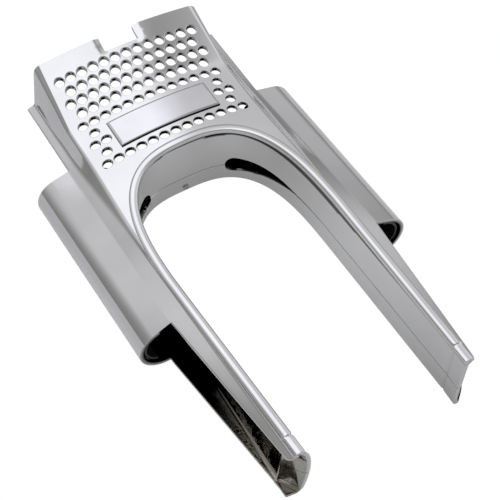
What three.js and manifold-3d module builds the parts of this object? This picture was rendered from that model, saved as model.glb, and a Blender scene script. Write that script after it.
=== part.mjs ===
// Front-fork cover of a light moped, lying on its back: a chromed clamshell of two mouldings with a
// grille plate, a wheel arch, two open-sided legs and two fork-tube covers.
// Millimetres. +X runs across the cover, +Y from the leg ends to the grille end, and +Z up from the
// plane of the rear rim. The origin is the centre of the footprint on that plane.
import * as THREE from 'three';
import { mergeVertices } from 'three/addons/utils/BufferGeometryUtils.js';
import Module from 'manifold-3d';

const wasm = await Module();
wasm.setup();

const { clamp, degToRad, lerp, radToDeg } = THREE.MathUtils;

// ---- Driving dimensions ------------------------------------------------------------------------
const TOP_Y = 143.5; // top edge of the grille plate
const CREASE_Y = 105; // bend across the grille plate
const TUBE_TOP_Y = 84; // upper mouth of the fork-tube covers
const FLOOR_TOP_Y = 76; // upper edge of the rear moulding between the covers
const ARCH_Y = -22; // the legs are below this line and the wheel arch above it
const TUBE_END_Y = -45; // lower mouth of the fork-tube covers
const LEG_Y = -143; // tips of the legs
const TRIM = 5; // extra length that the leg ends are trimmed from

const WALL = 2.2; // moulding thickness of walls and covers
const PLATE = 2.6; // thickness of the grille plate
const GAP = 0.3; // clearance between pieces that touch
const DRAW_SLOPE = 0.113; // lean of the walls, which follow the moulds' opening direction
const LEG_DRAFT = 0.055; // how much the legs' inner walls spread towards the rear at the tips
const DRAW_Z = 43.7; // height at which a leaning wall is where its outline says
const TUBE_R = 15.2; // outer radius of the fork-tube covers
const TUBE_LEAN = 0.045; // lean of the covers' mouths

// ---- Profiles along the length -----------------------------------------------------------------
// A value that changes in straight stretches between stations [y, value], listed from the top down.
function along(stations) {
  return (y) => {
    const found = stations.findIndex(([station], index) => index > 0 && y >= station);
    const k = found < 0 ? stations.length - 1 : found;
    const [y0, v0] = stations[k - 1];
    const [y1, v1] = stations[k];
    return lerp(v0, v1, (y - y0) / (y1 - y0));
  };
}

const faceZ = along([[TOP_Y, 69.4], [CREASE_Y, 52.3], [61, 50.8], [ARCH_Y, 51.9], [LEG_Y, 57]]);
// The line where the face turns down into the side wall, which on a leg is the groove by the bead.
const edgeX = along([[TOP_Y, 53.2], [69, 52], [23, 53.3], [ARCH_Y, 53], [LEG_Y, 48.9]]);
const edgeZ = along([[TOP_Y, 65.8], [CREASE_Y, 47.4], [69, 45.7], [23, 45.3], [ARCH_Y, 46.9], [LEG_Y, 52]]);
// The foot of the side wall, and the outer edge of the flange outside it.
const footX = along([[TOP_Y, 58.5], [69, 57.5], [44, 56], [23, 55], [LEG_Y, 49.3]]);
const footZ = along([[TOP_Y, 39.4], [TUBE_TOP_Y, 38.6], [44, 41.8], [23, 44], [LEG_Y, 49.2]]);
const flangeX = along([[TOP_Y, 63.5], [TUBE_TOP_Y, 62.5], [TUBE_END_Y, 61.8], [LEG_Y, 51.9]]);
const flangeZ = along([[TOP_Y, 37.7], [TUBE_TOP_Y, 36.3], [TUBE_END_Y, 43.3], [LEG_Y, 47.6]]);
// The centre of the fork-tube cover's round, and the height of the parting seam.
const tubeX = along([[TUBE_TOP_Y, 69.5], [TUBE_END_Y, 66]]);
const tubeZ = along([[TUBE_TOP_Y, 19], [TUBE_END_Y, 24.7]]);
const seamZ = along([[TOP_Y, 11], [LEG_Y, 21]]);
// The rear corner of a leg or arch, and the outer edge of the rear flange.
const cornerX = along([[TUBE_TOP_Y, 50], [44, 50], [23, 53.8], [ARCH_Y, 55.5], [LEG_Y, 50.3]]);
const rearX = along([[TUBE_TOP_Y, 66], [TUBE_END_Y, 65], [LEG_Y, 53]]);
const rearZ = along([[TUBE_TOP_Y, 4.9], [TUBE_END_Y, 9.9], [LEG_Y, 10.9]]);

// Height of the crowned face at (x, y).
function crownZ(x, y) {
  return faceZ(y) - (faceZ(y) - edgeZ(y)) * (x / edgeX(y)) ** 2;
}

// Shift in y of a leaning wall at height z.
function lean(z) {
  return DRAW_SLOPE * (DRAW_Z - z);
}

// ---- Solids ------------------------------------------------------------------------------------
function solidFrom(geometry) {
  geometry.deleteAttribute('normal');
  geometry.deleteAttribute('uv');
  const merged = mergeVertices(geometry, 1e-4);
  return new wasm.Manifold(new wasm.Mesh({
    numProp: 3,
    vertProperties: new Float32Array(merged.getAttribute('position').array),
    triVerts: new Uint32Array(merged.index.array),
  }));
}

function unite(solids) {
  return solids.reduce((sum, solid) => sum.add(solid));
}

// A closed sheet of columns by rows panes. place(i, j, face) gives the point of each corner, face 0
// being the side that shows and face 1 the side behind it.
function bentSheet(columns, rows, place) {
  const sheet = new THREE.BoxGeometry(columns, rows, 1, columns, rows, 1);
  const position = sheet.getAttribute('position');
  for (let k = 0; k < position.count; k += 1) {
    const i = Math.round(position.getX(k) + columns / 2);
    const j = Math.round(position.getY(k) + rows / 2);
    const face = position.getZ(k) > 0 ? 0 : 1;
    position.setXYZ(k, ...place(i, j, face));
  }
  return solidFrom(sheet);
}

// Unit normal to the left of a line of Vector2 points, at point i.
function normalAt(line, i) {
  const before = line[Math.max(i - 1, 0)];
  const after = line[Math.min(i + 1, line.length - 1)];
  const tangent = after.clone().sub(before).normalize();
  return new THREE.Vector2(-tangent.y, tangent.x);
}

// A sheet whose section at each station y is the line of (x, z) points sectionAt(y), with its outer
// side to the left of that line. side -1 mirrors it. slope leans its ends.
function sectionSheet(stations, sectionAt, thickness, side = 1, slope = 0) {
  const columns = sectionAt(stations[0]).length - 1;
  return bentSheet(columns, stations.length - 1, (i, j, face) => {
    const line = sectionAt(stations[j]);
    const k = side > 0 ? i : columns - i;
    const point = line[k].clone().addScaledVector(normalAt(line, k), -thickness * face);
    return [side * point.x, stations[j] + slope * (DRAW_Z - point.y), point.y];
  });
}

function box(x, y, z, width, depth, height) {
  return solidFrom(new THREE.BoxGeometry(width, depth, height).translate(x, y, z));
}

// An upright cylinder from z = low to z = high, and one along Y from y = near to y = far.
function post(x, y, low, high, radius, sides = 16) {
  const cylinder = new THREE.CylinderGeometry(radius, radius, high - low, sides);
  return solidFrom(cylinder.rotateX(Math.PI / 2).translate(x, y, (low + high) / 2));
}

function pin(x, z, near, far, radius, sides = 12) {
  const cylinder = new THREE.CylinderGeometry(radius, radius, far - near, sides);
  return solidFrom(cylinder.translate(x, (near + far) / 2, z));
}

// The right-hand half of a section line, with its mirror image put before it.
function mirroredSection(right) {
  const left = right.slice(1).reverse().map((point) => new THREE.Vector2(-point.x, point.y));
  return [...left, ...right];
}

// ---- Wheel opening -----------------------------------------------------------------------------
// Superellipses over straight legs: the wall's face, the bead's centre line, and the cuts that clear
// the face and the rear floor, which end inside the bead and inside the wall.
const OPENING = { halfWidth: 49, crown: 60, legHalfWidth: 45.7, power: 3 };
const BEAD_LINE = { halfWidth: 51.1, crown: 58.8, legHalfWidth: 47, power: 2.8 };
const FLOOR_CUT = { halfWidth: 50, crown: 61, legHalfWidth: 46.7, power: 3 };
const ARCH_STEPS = 12;
const LEG_STATIONS = [-85, LEG_Y + 10, LEG_Y + 5, LEG_Y - TRIM];
// Inward flare of each leg's tip, which is much stronger on the left leg.
const LIP = { length: 10, leftReach: 7.6, rightReach: 0.6, middleZ: 20, halfHeight: 30 };

// Points (x, y) from the left leg's tip over the arch to the right leg's tip.
function openingLine({ halfWidth, crown, legHalfWidth, power }) {
  const right = [];
  for (let k = 0; k <= ARCH_STEPS; k += 1) {
    const angle = (Math.PI / 2) * (1 - k / ARCH_STEPS);
    const x = halfWidth * Math.cos(angle) ** (2 / power);
    const y = ARCH_Y + (crown - ARCH_Y) * Math.sin(angle) ** (2 / power);
    right.push(new THREE.Vector2(x, y));
  }
  for (const y of LEG_STATIONS) {
    const t = (ARCH_Y - y) / (ARCH_Y - LEG_Y);
    right.push(new THREE.Vector2(lerp(halfWidth, legHalfWidth, t), y));
  }
  return mirroredSection(right);
}

function lipReach(x, y, z) {
  const reach = x < 0 ? LIP.leftReach : LIP.rightReach;
  const out = clamp((LEG_Y + LIP.length - y) / LIP.length, 0, 1);
  const up = clamp((z - LIP.middleZ) / LIP.halfHeight, -1, 1);
  return reach * out * Math.sqrt(1 - up ** 2);
}

// Where the wall along a line stands at height z, moved outward by a distance. The wall leans in y
// all round, and the legs spread a little towards the rear as well, most at their tips.
function wallPlace(line, i, z, outward = 0) {
  const { x, y } = line[i];
  const legShare = clamp((ARCH_Y - y) / (ARCH_Y - LEG_Y), 0, 1);
  const shift = normalAt(line, i).multiplyScalar(outward);
  const spread = legShare * LEG_DRAFT * (DRAW_Z - z) - lipReach(x, y, z);
  return new THREE.Vector2(x + shift.x + Math.sign(x) * spread, y + shift.y + lean(z));
}

function openingPrism(outline, low, high) {
  const line = openingLine(outline);
  const shape = new THREE.Shape(line.map((_, i) => wallPlace(line, i, (low + high) / 2)));
  const prism = new THREE.ExtrudeGeometry(shape, { depth: high - low, bevelEnabled: false });
  return solidFrom(prism.translate(0, 0, low));
}

// The wall that stands round the opening, from z = lowAt(y) to z = highAt(x, y).
function archWall(lowAt, highAt) {
  const line = openingLine(OPENING);
  const rows = 4;
  return bentSheet(line.length - 1, rows, (i, j, face) => {
    const { x, y } = line[i];
    const z = lerp(lowAt(y), highAt(x, y), j / rows);
    const place = wallPlace(line, i, z, WALL * face);
    return [place.x, place.y, z];
  });
}

// Teardrop openings on the seam, where the arch turns into each leg. Each is cut from both mouldings.
const DROP = { x: 30, y: 58.5, radius: 6, tipX: 43.5, tipY: 26, reach: 12 };

function teardrops() {
  return [-1, 1].map((side) => {
    const head = new THREE.Vector3(side * DROP.x, DROP.y, seamZ(DROP.y));
    const tip = new THREE.Vector3(side * DROP.tipX, DROP.tipY, seamZ(DROP.tipY));
    const run = tip.clone().sub(head);
    const length = run.length();
    const shape = new THREE.Shape();
    shape.moveTo(length, 0);
    shape.quadraticCurveTo(length / 3, DROP.radius, 0, DROP.radius);
    shape.absarc(0, 0, DROP.radius, Math.PI / 2, -Math.PI / 2, false);
    shape.quadraticCurveTo(length / 3, -DROP.radius, length, 0);
    const options = { depth: 2 * DROP.reach, bevelEnabled: false, curveSegments: 5 };
    const cutter = new THREE.ExtrudeGeometry(shape, options).translate(0, 0, -DROP.reach);
    const across = run.normalize();
    const up = new THREE.Vector3(0, 0, 1).addScaledVector(across, -across.z).normalize();
    const basis = new THREE.Matrix4().makeBasis(across, up, across.clone().cross(up));
    return solidFrom(cutter.applyMatrix4(basis.setPosition(head)));
  });
}

// Everything below the leaning plane through the leg tips.
function legTrim() {
  const block = new THREE.BoxGeometry(140, 40, 140).translate(0, -20, 0);
  return solidFrom(block.rotateX(Math.atan(DRAW_SLOPE)).translate(0, LEG_Y, DRAW_Z));
}

// ---- Fork-tube covers --------------------------------------------------------------------------
const COVER_STATIONS = [TUBE_END_Y, ARCH_Y, 23, 44, TUBE_TOP_Y];
const SEAM_TRIM_DEGREES = 6; // each half runs past the seam and is trimmed back to it

// Points on the cover's round between two angles in degrees, at a distance inside its outer skin.
function tubeArc(y, fromDegrees, toDegrees, steps, inset = 0) {
  const points = [];
  for (let k = 0; k <= steps; k += 1) {
    const angle = degToRad(lerp(fromDegrees, toDegrees, k / steps));
    const radius = TUBE_R - inset;
    points.push(new THREE.Vector2(tubeX(y) + radius * Math.cos(angle), tubeZ(y) + radius * Math.sin(angle)));
  }
  return points;
}

function seamDegrees(y) {
  return radToDeg(Math.asin((seamZ(y) - tubeZ(y)) / TUBE_R));
}

// Where the straight line from the flange's edge touches the cover's round.
function tangentDegrees(y) {
  const across = flangeX(y) - tubeX(y);
  const up = flangeZ(y) - tubeZ(y);
  return radToDeg(Math.atan2(up, across) - Math.acos(TUBE_R / Math.hypot(across, up)));
}

// Front half, from inside the flange out and down to the seam.
function frontCoverSection(y) {
  const root = new THREE.Vector2(lerp(footX(y), flangeX(y), 0.5), lerp(footZ(y), flangeZ(y), 0.5));
  const corner = new THREE.Vector2(flangeX(y), flangeZ(y));
  return [root, corner, ...tubeArc(y, tangentDegrees(y), seamDegrees(y) - SEAM_TRIM_DEGREES, 7)];
}

// Rear half, from the seam down and in to the rear floor.
function rearCoverSection(y) {
  const root = new THREE.Vector2(lerp(cornerX(y), rearX(y), 0.75), rearZ(y) * 0.68);
  return [...tubeArc(y, seamDegrees(y) + SEAM_TRIM_DEGREES, -95, 5), root];
}

// Everything past the near edge of the seam's gap: above it for side 1, below it for side -1.
function seamTrim(side) {
  const height = 60;
  const block = new THREE.BoxGeometry(240, 400, height).translate(0, 0, side * (height - GAP) / 2);
  return solidFrom(block.rotateX(Math.atan(seamZ(1) - seamZ(0))).translate(0, 0, seamZ(0)));
}

function coverHalves(sectionAt, trimSide) {
  const halves = [-1, 1].map((side) => sectionSheet(COVER_STATIONS, sectionAt, WALL, side, TUBE_LEAN));
  return unite(halves).subtract(seamTrim(trimSide));
}

// Inner skin behind the cover, with a rib that stands on the cover's inside at the seam.
const LINER = { inset: WALL + 1.3, thickness: 1.2, from: 78, to: -62, ribHalfDegrees: 7, short: 1.5 };

function tubeLiner(side) {
  const stations = [TUBE_END_Y + LINER.short, 23, TUBE_TOP_Y - LINER.short];
  const skinSection = (y) => tubeArc(y, LINER.from, LINER.to, 9, LINER.inset);
  const ribSection = (y) => tubeArc(
    y,
    seamDegrees(y) + LINER.ribHalfDegrees,
    seamDegrees(y) - LINER.ribHalfDegrees,
    1,
    WALL + GAP,
  );
  const skin = sectionSheet(stations, skinSection, LINER.thickness, side, TUBE_LEAN);
  const rib = sectionSheet(stations, ribSection, LINER.inset - WALL, side, TUBE_LEAN);
  return skin.add(rib);
}

// ---- Fasteners' places -------------------------------------------------------------------------
// Clamp screws stand upright in towers: the upper pair behind the plate, the lower pair in the legs.
const TOWER = { radius: 4.6, foot: 0.4, seat: 6.2, top: 8.7, boreR: 3.4, holeR: 1.9 };
const BOSS = { radius: 3, holeR: 1.8, holeDepth: 12 };
const SHELL_SCREW = { headR: 3, headTop: 5.9, headHeight: 2.1, shaftR: 1.5, shaftTop: 19, slot: 0.9 };
const CLAMP_PLACES = {
  upper: { x: 47, y: 66, bossTop: crownZ(47, 66) - 2 },
  lower: { x: 54.5, y: 30, bossTop: flangeZ(30) + 2.5 },
};
// The arch screw lies along Y through the rear band of the arch into a tongue of the front moulding.
const ARCH_SCREW = { z: 5, face: 63.7, headR: 1.9, headDepth: 0.9, shaftR: 1, length: 5.8, holeR: 1.3 };
const TONGUE = { width: 12, y: 68.3, thickness: 2.2, foot: 2.6, top: 20 };

function clampPosts(low, highOf, radius) {
  return unite(Object.values(CLAMP_PLACES).flatMap((place) => (
    [-1, 1].map((side) => post(side * place.x, place.y, low, highOf(place), radius))
  )));
}

// ---- Front moulding ----------------------------------------------------------------------------
const FACE_STATIONS = [LEG_Y - TRIM, -85, TUBE_END_Y, ARCH_Y, 23, 44, 69, TUBE_TOP_Y, CREASE_Y, TOP_Y];
const CROWN_STEPS = 5;
const BEAD = { radius: 2.6, sink: 1.5, steps: 44 }; // sink is its centre's depth under the face
const NOTCH = { halfWidth: 11, bottom: 135 };

function faceSection(y) {
  const right = [];
  for (let k = 0; k <= CROWN_STEPS; k += 1) {
    const x = (edgeX(y) * k) / CROWN_STEPS;
    right.push(new THREE.Vector2(x, crownZ(x, y)));
  }
  // The side wall's top is rounded, so it drops slower than it moves out.
  right.push(new THREE.Vector2(lerp(edgeX(y), footX(y), 0.6), lerp(edgeZ(y), footZ(y), 0.35)));
  right.push(new THREE.Vector2(footX(y), footZ(y)));
  right.push(new THREE.Vector2(flangeX(y), flangeZ(y)));
  return mirroredSection(right);
}

// Staggered rows of round holes. The rows beside the badge keep only their outermost holes.
const GRILLE = { pitch: 7.3, radius: 3, sides: 8, firstY: 129.6, steepRow: 6.95, fifthY: 100.5, row: 8.3 };
const HOLES_BESIDE_BADGE = { 6: 1, 7: 2, 8: 1 };

function grilleHoles() {
  const holes = [];
  for (let row = 1; row <= 9; row += 1) {
    const steep = row < 5;
    const y = steep ? GRILLE.firstY - GRILLE.steepRow * (row - 1) : GRILLE.fifthY - GRILLE.row * (row - 5);
    const places = row % 2 === 1 ? 13 : 12;
    const kept = HOLES_BESIDE_BADGE[row] ?? places;
    for (let place = 0; place < places; place += 1) {
      const fromEnd = Math.min(place, places - 1 - place);
      if (fromEnd < kept) holes.push(grilleHole((place - (places - 1) / 2) * GRILLE.pitch, y));
    }
  }
  return unite(holes);
}

function grilleHole(x, y) {
  const drill = new THREE.CylinderGeometry(GRILLE.radius, GRILLE.radius, 14, GRILLE.sides);
  drill.rotateX(Math.PI / 2 + Math.atan(DRAW_SLOPE));
  return solidFrom(drill.translate(x, y, crownZ(x, y)));
}

function bead() {
  const line = openingLine(BEAD_LINE).map(({ x, y }) => new THREE.Vector3(x, y, crownZ(x, y) - BEAD.sink));
  const section = new THREE.Shape();
  section.absarc(0, 0, BEAD.radius, 0, Math.PI * 2);
  const extrudePath = new THREE.CatmullRomCurve3(line);
  return solidFrom(new THREE.ExtrudeGeometry(section, { steps: BEAD.steps, curveSegments: 5, extrudePath }));
}

function tongue() {
  const height = TONGUE.top - TONGUE.foot;
  const blade = box(0, TONGUE.y, TONGUE.foot + height / 2, TONGUE.width, TONGUE.thickness, height);
  const rootFoot = seamZ(TONGUE.y) + GAP;
  const rootHeight = TONGUE.top - rootFoot;
  return blade.add(box(0, TONGUE.y - 2, rootFoot + rootHeight / 2, TONGUE.width, 4, rootHeight));
}

function frontShell() {
  const bossFoot = TOWER.top + GAP;
  return sectionSheet(FACE_STATIONS, faceSection, PLATE)
    .subtract(openingPrism(BEAD_LINE, 20, 80))
    .subtract(box(0, NOTCH.bottom + 20, 60, 2 * NOTCH.halfWidth, 40, 60))
    .subtract(grilleHoles())
    .add(archWall((y) => seamZ(y) + GAP / 2, (x, y) => crownZ(x, y) - BEAD.sink))
    .add(bead())
    .add(tongue())
    .add(coverHalves(frontCoverSection, -1))
    .add(clampPosts(bossFoot, (place) => place.bossTop, BOSS.radius))
    .subtract(clampPosts(bossFoot - 1, () => bossFoot + BOSS.holeDepth, BOSS.holeR))
    .subtract(badgeStuds(BADGE.studR + GAP, 10))
    .subtract(pin(0, ARCH_SCREW.z, TONGUE.y - 5, TONGUE.y + 5, ARCH_SCREW.holeR))
    .subtract(unite(teardrops()))
    .subtract(legTrim());
}

// ---- Rear moulding -----------------------------------------------------------------------------
const FLOOR_STATIONS = [LEG_Y - TRIM, -85, TUBE_END_Y, ARCH_Y, 23, 44, FLOOR_TOP_Y];

// Listed from right to left, so that its outer side faces down.
function floorSection(y) {
  const right = [
    new THREE.Vector2(0, 0),
    new THREE.Vector2(cornerX(y), 0),
    new THREE.Vector2(lerp(cornerX(y), rearX(y), 0.5), rearZ(y) * 0.36),
    new THREE.Vector2(rearX(y), rearZ(y)),
  ];
  return mirroredSection(right).reverse();
}

function rearShell() {
  return sectionSheet(FLOOR_STATIONS, floorSection, WALL)
    .subtract(openingPrism(FLOOR_CUT, -5, 15))
    .add(archWall(() => 0, (x, y) => seamZ(y) - GAP / 2))
    .add(coverHalves(rearCoverSection, 1))
    .add(clampPosts(TOWER.foot, () => TOWER.top, TOWER.radius))
    .subtract(clampPosts(-5, () => TOWER.seat, TOWER.boreR))
    .subtract(clampPosts(-5, () => TOWER.top + 5, TOWER.holeR))
    .subtract(pin(0, ARCH_SCREW.z, 60, ARCH_SCREW.face + ARCH_SCREW.headDepth + GAP, ARCH_SCREW.headR + GAP))
    .subtract(pin(0, ARCH_SCREW.z, 60, 70, ARCH_SCREW.holeR))
    .subtract(unite(teardrops()))
    .subtract(legTrim());
}

// ---- Badge -------------------------------------------------------------------------------------
const BADGE = { halfWidth: 31.8, low: 73.1, high: 93.8, rise: 1.5, bevel: 1.2, studX: 18, studR: 1.5 };
const BADGE_Y = (BADGE.low + BADGE.high) / 2;
const PUSH_NUT = { radius: 4.5, height: 0.8, drop: 0.5 };
const STUD_BEYOND_NUT = 1.5;

function pushNutTop() {
  return crownZ(BADGE.studX + PUSH_NUT.radius, BADGE_Y) - PLATE - PUSH_NUT.drop;
}

function badgeStuds(radius, above) {
  const low = pushNutTop() - PUSH_NUT.height - STUD_BEYOND_NUT;
  const high = crownZ(BADGE.studX, BADGE_Y) + above;
  return unite([-1, 1].map((side) => post(side * BADGE.studX, BADGE_Y, low, high, radius)));
}

// A crowned panel that follows the face, with its shown side drawn in by the bevel.
function badgePlate() {
  const columns = 8;
  const rows = 2;
  const panel = bentSheet(columns, rows, (i, j, face) => {
    const drawn = face === 0 ? BADGE.bevel : 0;
    const x = lerp(-BADGE.halfWidth + drawn, BADGE.halfWidth - drawn, i / columns);
    const y = lerp(BADGE.low + drawn, BADGE.high - drawn, j / rows);
    return [x, y, crownZ(x, y) + (face === 0 ? BADGE.rise : GAP)];
  });
  return panel.add(badgeStuds(BADGE.studR, BADGE.rise / 2));
}

function pushNut(side) {
  const top = pushNutTop();
  const x = side * BADGE.studX;
  return post(x, BADGE_Y, top - PUSH_NUT.height, top, PUSH_NUT.radius)
    .subtract(post(x, BADGE_Y, top - 5, top + 5, BADGE.studR + GAP));
}

// ---- Screws ------------------------------------------------------------------------------------
function shellScrew(side, { x, y }) {
  const headFoot = SHELL_SCREW.headTop - SHELL_SCREW.headHeight;
  const slot = box(side * x, y, headFoot, SHELL_SCREW.slot, 3 * SHELL_SCREW.headR, SHELL_SCREW.slot);
  return post(side * x, y, headFoot, SHELL_SCREW.headTop, SHELL_SCREW.headR)
    .add(post(side * x, y, headFoot + 1, SHELL_SCREW.shaftTop, SHELL_SCREW.shaftR, 10))
    .subtract(slot);
}

function archScrew() {
  const { face, headDepth, headR, length, shaftR, z } = ARCH_SCREW;
  const slot = box(0, face, z, 0.6, 0.7, 3 * headR);
  return pin(0, z, face, face + headDepth, headR)
    .add(pin(0, z, face + headDepth / 2, face + length, shaftR, 10))
    .subtract(slot);
}

// ---- Assembly ----------------------------------------------------------------------------------
const cover = new THREE.Group();
cover.name = 'fork_cover';

const chrome = { color: 0xd8d9db, roughness: 0.08, metalness: 1 };
const darkPlastic = { color: 0x6e6e70, roughness: 0.55, metalness: 0 };
const zincSteel = { color: 0xa9abae, roughness: 0.35, metalness: 1 };

function addNode(name, solid, finish) {
  const { vertProperties, triVerts } = solid.getMesh();
  const geometry = new THREE.BufferGeometry();
  geometry.setAttribute('position', new THREE.BufferAttribute(vertProperties, 3));
  geometry.setIndex(new THREE.BufferAttribute(triVerts, 1));
  geometry.computeVertexNormals();
  const mesh = new THREE.Mesh(geometry, new THREE.MeshStandardMaterial(finish));
  mesh.name = name;
  cover.add(mesh);
}

addNode('front_shell', frontShell(), chrome);
addNode('rear_shell', rearShell(), chrome);
addNode('badge_plate', badgePlate(), chrome);
addNode('arch_screw', archScrew(), zincSteel);
for (const [word, side] of [['left', -1], ['right', 1]]) {
  addNode(`tube_liner_${word}`, tubeLiner(side), darkPlastic);
  addNode(`badge_push_nut_${word}`, pushNut(side), zincSteel);
  for (const [level, place] of Object.entries(CLAMP_PLACES)) {
    addNode(`shell_screw_${level}_${word}`, shellScrew(side, place), zincSteel);
  }
}

export default cover;
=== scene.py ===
"""The looks of a light moped's chromed front-fork cover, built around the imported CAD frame.

Shapes are worked out in millimetres in the CAD's own frame (+X across, +Y towards the grille end,
+Z up out of the front face) and turned into metres when a mesh is made.
"""
import math

import bpy
import numpy as np
from mathutils import Euler, Matrix, Vector
from mathutils.geometry import delaunay_2d_cdt


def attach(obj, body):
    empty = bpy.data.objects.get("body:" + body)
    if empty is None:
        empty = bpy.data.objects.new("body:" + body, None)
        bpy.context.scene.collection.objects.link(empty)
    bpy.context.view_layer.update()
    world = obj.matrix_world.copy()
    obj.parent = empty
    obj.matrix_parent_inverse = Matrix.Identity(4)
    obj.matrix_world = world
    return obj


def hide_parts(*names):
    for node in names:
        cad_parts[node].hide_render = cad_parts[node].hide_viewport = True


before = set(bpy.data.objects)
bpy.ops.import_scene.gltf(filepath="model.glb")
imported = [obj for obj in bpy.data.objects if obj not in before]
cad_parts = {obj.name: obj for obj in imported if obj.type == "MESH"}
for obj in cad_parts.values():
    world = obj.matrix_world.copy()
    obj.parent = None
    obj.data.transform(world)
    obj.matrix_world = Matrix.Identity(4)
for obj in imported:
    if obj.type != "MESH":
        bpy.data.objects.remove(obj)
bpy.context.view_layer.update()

MM = 0.001

# ---- Driving dimensions, as in the CAD -------------------------------------------------------------
TOP_Y = 143.5
CREASE_Y = 105.0
TUBE_TOP_Y = 84.0
FLOOR_TOP_Y = 76.0
ARCH_Y = -22.0
TUBE_END_Y = -45.0
LEG_Y = -143.0
WALL = 2.2
PLATE = 2.6
GAP = 0.3  # between the front and the rear moulding
DRAW_SLOPE = 0.113  # lean in y of the walls, which follow the moulds' opening direction
LEG_DRAFT = 0.055  # how much the legs' inner walls also spread in x towards the rear, at the tips
DRAW_Z = 43.7  # height at which a leaning wall is where its outline says
TUBE_R = 15.2
TUBE_LEAN = 0.045  # lean of the fork-tube covers' ends


# ---- Profiles along the length ---------------------------------------------------------------------
def along(stations, blend=9.0):
    """A value that changes in straight stretches between stations (y, value), listed from the top
    down, with every bend between two stretches rounded over blend millimetres to each side."""
    ys = np.array([y for y, _ in stations][::-1])
    values = np.array([value for _, value in stations][::-1])

    def straight(y):
        low = values[0] + (y - ys[0]) * (values[1] - values[0]) / (ys[1] - ys[0])
        high = values[-1] + (y - ys[-1]) * (values[-1] - values[-2]) / (ys[-1] - ys[-2])
        between = np.interp(y, ys, values)
        return np.where(y < ys[0], low, np.where(y > ys[-1], high, between))

    offsets = np.linspace(-blend, blend, 15)

    def rounded(y):
        y = np.asarray(y, float)
        return straight(y[..., None] + offsets).mean(axis=-1)

    return rounded


face_upper = along([(TOP_Y, 69.4), (CREASE_Y, 52.3)])
face_lower = along([(CREASE_Y, 52.3), (61, 50.8), (ARCH_Y, 51.9), (LEG_Y, 57)], 18)
edge_x = along([(TOP_Y, 53.2), (69, 52), (23, 53.3), (ARCH_Y, 53), (LEG_Y, 48.9)], 14)
edge_upper = along([(TOP_Y, 65.8), (CREASE_Y, 47.4)])
edge_lower = along([(CREASE_Y, 47.4), (69, 45.7), (23, 45.3), (ARCH_Y, 46.9), (LEG_Y, 52)], 18)
foot_x = along([(TOP_Y, 58.5), (69, 57.5), (44, 56), (23, 55), (LEG_Y, 49.3)], 14)
foot_z = along([(TOP_Y, 39.4), (TUBE_TOP_Y, 38.6), (44, 41.8), (23, 44), (LEG_Y, 49.2)], 14)
flange_x = along([(TOP_Y, 63.5), (TUBE_TOP_Y, 62.5), (TUBE_END_Y, 61.8), (LEG_Y, 51.9)], 3)
flange_z = along([(TOP_Y, 37.7), (TUBE_TOP_Y, 36.3), (TUBE_END_Y, 43.3), (LEG_Y, 47.6)], 6)
tube_x = along([(TUBE_TOP_Y, 69.5), (TUBE_END_Y, 66)])
tube_z = along([(TUBE_TOP_Y, 19), (TUBE_END_Y, 24.7)])
seam_z = along([(TOP_Y, 11), (LEG_Y, 21)])
corner_x = along([(TUBE_TOP_Y, 50), (44, 50), (23, 53.8), (ARCH_Y, 55.5), (LEG_Y, 50.3)])
rear_x = along([(TUBE_TOP_Y, 66), (TUBE_END_Y, 65), (LEG_Y, 53)], 3)
rear_z = along([(TUBE_TOP_Y, 4.9), (TUBE_END_Y, 9.9), (LEG_Y, 10.9)])
CREASE_ROUND = 1.2  # how gently the crease joins its two slopes
CREASE_LOWERED = 0.1  # takes back some of the height that the rounding adds


def creased(upper, lower, y):
    """The higher of two slopes, with the crease between them rounded."""
    a, b = upper(y), lower(y)
    return (a + b + np.sqrt((a - b) ** 2 + CREASE_ROUND**2)) / 2 - CREASE_LOWERED


def face_z(y):
    return creased(face_upper, face_lower, y)


def edge_z(y):
    return creased(edge_upper, edge_lower, y)


def crown_z(x, y):
    """Height of the crowned face."""
    return face_z(y) - (face_z(y) - edge_z(y)) * (x / edge_x(y)) ** 2


def lean(z):
    """Shift in y of a leaning wall at height z."""
    return DRAW_SLOPE * (DRAW_Z - z)


def leg_lean(y, z):
    """The same shift for the front of the legs, where it grows from nothing at the arch."""
    return lean(z) * leg_share(y)


# ---- Wheel opening ---------------------------------------------------------------------------------
OPENING = {"half_width": 49.0, "crown": 60.0, "leg_half_width": 45.7, "power": 3.0}
BEAD_LINE = {"half_width": 51.1, "crown": 59.4, "leg_half_width": 47.0, "power": 2.8}
# Inward flare of each leg's tip, which is much stronger on the left leg. A shallow groove marks its start.
LIP = {"length": 10.0, "left": 7.6, "right": 0.6, "middle_z": 20.0, "half_height": 30.0,
       "groove": 0.6, "groove_width": 0.6}
FINE = 4000  # points per step, where distances along the wall are measured


def opening_curve(curve, steps):
    """Points (x, y) on the right half, from the middle of the arch to the leg's tip. Steps run from
    0 to 1 round the arch and from 1 to 2 down the leg."""
    angle = (math.pi / 2) * (1 - np.clip(steps, 0, 1))
    power = 2 / curve["power"]
    down = np.clip(steps - 1, 0, None)
    x = curve["half_width"] * np.cos(angle) ** power
    x = np.where(steps > 1, curve["half_width"] + down * (curve["leg_half_width"] - curve["half_width"]), x)
    y = ARCH_Y + (curve["crown"] - ARCH_Y) * np.sin(angle) ** power
    y = np.where(steps > 1, ARCH_Y + down * (LEG_Y - ARCH_Y), y)
    return np.stack([x, y], axis=1)


def distances_along(points):
    """How far each point of a line is from its first point, measured along the line."""
    return np.concatenate([[0], np.cumsum(np.linalg.norm(np.diff(points, axis=0), axis=1))])


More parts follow.
